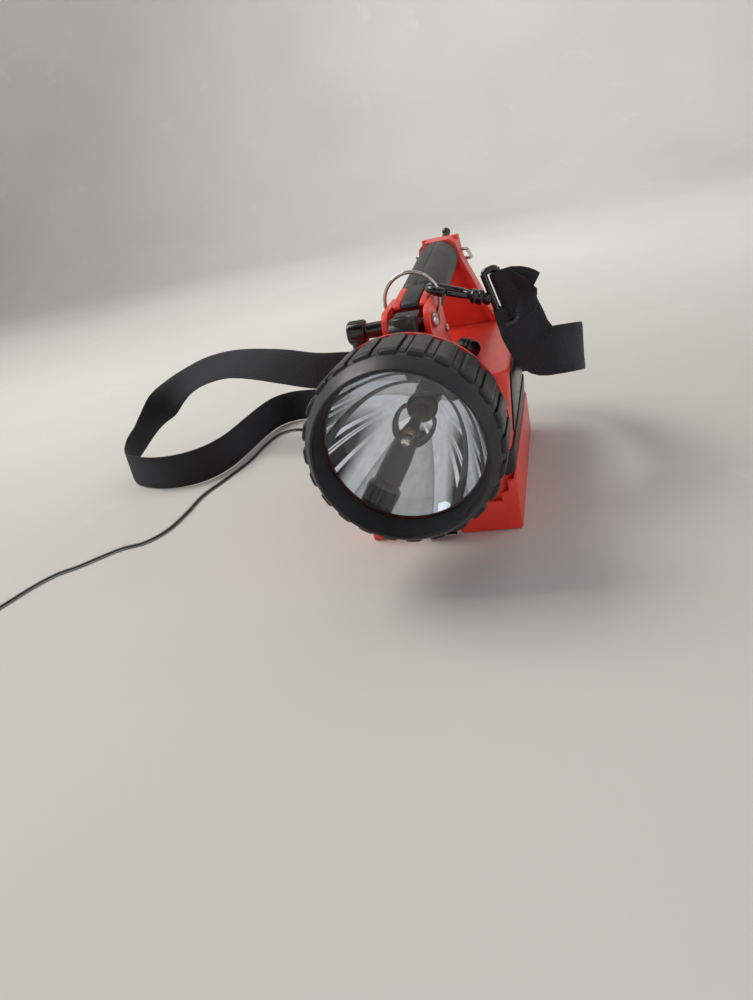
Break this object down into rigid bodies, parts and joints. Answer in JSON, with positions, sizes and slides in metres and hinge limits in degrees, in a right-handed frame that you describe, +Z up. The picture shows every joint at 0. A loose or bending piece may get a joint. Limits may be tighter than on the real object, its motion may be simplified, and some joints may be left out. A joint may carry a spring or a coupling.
{
  "type": "rechargeable hand lantern",
  "caption": "Rechargeable box hand lantern with a tilting lamp head, carrying grip, toggle switch, shoulder strap on snap hooks, and a charging tray with its lead.",
  "frame": {"origin": "middle of the charging tray's underside, on the surface it stands on", "axes": "+Z up; the lamp faces -Y and the switch end of the handle is at +Y; +X is to the right of someone who faces the lamp"},
  "size_m": [0.5642, 0.5642, 0.1959],
  "materials": {
    "orange_plastic": "moulded orange-red plastic, fine texture",
    "black_rubber": "moulded rubber, matt",
    "grip_rubber": "soft grey-black rubber",
    "black_plastic": "moulded black plastic",
    "strap_webbing": "woven webbing",
    "nickel_steel": "nickel-plated steel",
    "contact_brass": "stamped brass",
    "reflector_mirror": "vacuum-metallised, polished",
    "clear_lens": "clear, polished",
    "lamp_ceramic": "brown-yellow ceramic",
    "battery_case": "moulded grey case",
    "foam_pad": "closed-cell foam",
    "circuit_board": "green board",
    "lead_insulation": "flexible insulation"
  },
  "bodies": {
    "tray": {"charging_tray": "orange_plastic", "tray_contact_left": "contact_brass", "tray_contact_right": "contact_brass", "lead_strain_relief": "black_plastic", "latch_bracket": "nickel_steel", "latch_pin": "nickel_steel", "charging_lead": "lead_insulation", "lead_coil": "lead_insulation", "adapter_body": "lead_insulation"},
    "latch": {"latch_lever": "black_plastic"},
    "lantern": {"case_shell": "orange_plastic", "base_cover": "orange_plastic", "case_belt": "black_rubber", "base_screw_front_left": "nickel_steel", "base_screw_front_right": "nickel_steel", "base_screw_rear_left": "nickel_steel", "base_screw_rear_right": "nickel_steel", "side_plate_left": "black_plastic", "side_plate_right": "black_plastic", "battery": "battery_case", "battery_tab_minus": "contact_brass", "battery_tab_plus": "contact_brass", "battery_pad": "foam_pad", "charge_board": "circuit_board", "charge_stud_left": "contact_brass", "charge_stud_right": "contact_brass", "socket_cap": "black_plastic", "handle_frame": "orange_plastic", "neck_screw_left": "nickel_steel", "neck_screw_right": "nickel_steel", "grip_left": "grip_rubber", "grip_right": "grip_rubber", "grip_nose": "grip_rubber", "switch_collar": "nickel_steel", "switch_boot": "black_rubber", "switch_body": "black_plastic", "pivot_bolt": "nickel_steel", "shoulder_strap": "strap_webbing"},
    "head": {"head_shell": "orange_plastic", "lens": "clear_lens", "lens_gasket": "black_rubber", "reflector": "reflector_mirror", "lamp_socket": "black_plastic", "lamp_base": "lamp_ceramic", "lamp_bulb": "clear_lens", "socket_spring": "nickel_steel", "head_lug": "black_plastic", "lead_sleeve": "black_plastic"},
    "bezel": {"bezel_ring": "black_rubber"},
    "knob": {"tilt_knob": "black_plastic"},
    "toggle": {"toggle_lever": "black_plastic"},
    "front_ring": {"front_ring": "nickel_steel", "front_strap_loop": "black_plastic"},
    "front_hook": {"front_hook_body": "black_plastic"},
    "front_gate": {"front_hook_gate": "nickel_steel"},
    "rear_bail": {"rear_bail": "nickel_steel", "rear_strap_loop": "black_plastic"},
    "rear_hook": {"rear_hook_body": "black_plastic"},
    "rear_gate": {"rear_hook_gate": "nickel_steel"}
  },
  "joints": [
    {"name": "lift_out", "type": "slide", "parent": "tray", "child": "lantern", "axis": [0, 0, 1], "range_m": [0, 0.08]},
    {"name": "latch_swing", "type": "hinge", "parent": "tray", "child": "latch", "pos_m": [0, -0.1048, 0.01], "axis": [1, 0, 0], "range_deg": [0, 30]},
    {"name": "head_tilt", "type": "hinge", "parent": "lantern", "child": "head", "pos_m": [0, -0.089, 0.159], "axis": [-1, 0, 0], "range_deg": [0, 90]},
    {"name": "bezel_turn", "type": "hinge", "parent": "head", "child": "bezel", "pos_m": [0, -0.181, 0.1025], "axis": [0, -1, 0], "range_deg": [0, 90]},
    {"name": "knob_turn", "type": "hinge", "parent": "lantern", "child": "knob", "pos_m": [-0.0168, -0.089, 0.159], "axis": [1, 0, 0], "continuous": true},
    {"name": "switch_flip", "type": "hinge", "parent": "lantern", "child": "toggle", "pos_m": [0.003, 0.11445, 0.18367], "axis": [1, 0, 0], "range_deg": [-12, 12], "deforming": ["switch_boot"]},
    {"name": "front_ring_swing", "type": "hinge", "parent": "lantern", "child": "front_ring", "pos_m": [0, -0.066, 0.157], "axis": [1, 0, 0], "range_deg": [-6, 10], "deforming": ["shoulder_strap"]},
    {"name": "front_hook_swivel", "type": "hinge", "parent": "front_ring", "child": "front_hook", "pos_m": [0.04904, -0.06218, 0.16274], "axis": [0.9279, 0.0998, -0.3592], "range_deg": [-4, 4]},
    {"name": "front_gate_press", "type": "hinge", "parent": "front_hook", "child": "front_gate", "pos_m": [0.03839, -0.06855, 0.16687], "axis": [-0.361, 0, -0.9326], "range_deg": [0, 18], "stiffness_Nm_per_rad": 0.02, "springref_deg": -11.46},
    {"name": "rear_bail_swing", "type": "hinge", "parent": "lantern", "child": "rear_bail", "pos_m": [0, 0.0985, 0.178], "axis": [1, 0, 0], "range_deg": [0, 18], "deforming": ["shoulder_strap"]},
    {"name": "rear_hook_swivel", "type": "hinge", "parent": "rear_bail", "child": "rear_hook", "pos_m": [0, 0.13048, 0.1317], "axis": [0, 0.01, -0.9999], "range_deg": [-10, 10]},
    {"name": "rear_gate_press", "type": "hinge", "parent": "rear_hook", "child": "rear_gate", "pos_m": [0, 0.12516, 0.14365], "axis": [-1, 0, 0], "range_deg": [0, 18], "stiffness_Nm_per_rad": 0.02, "springref_deg": -11.46}
  ]
}
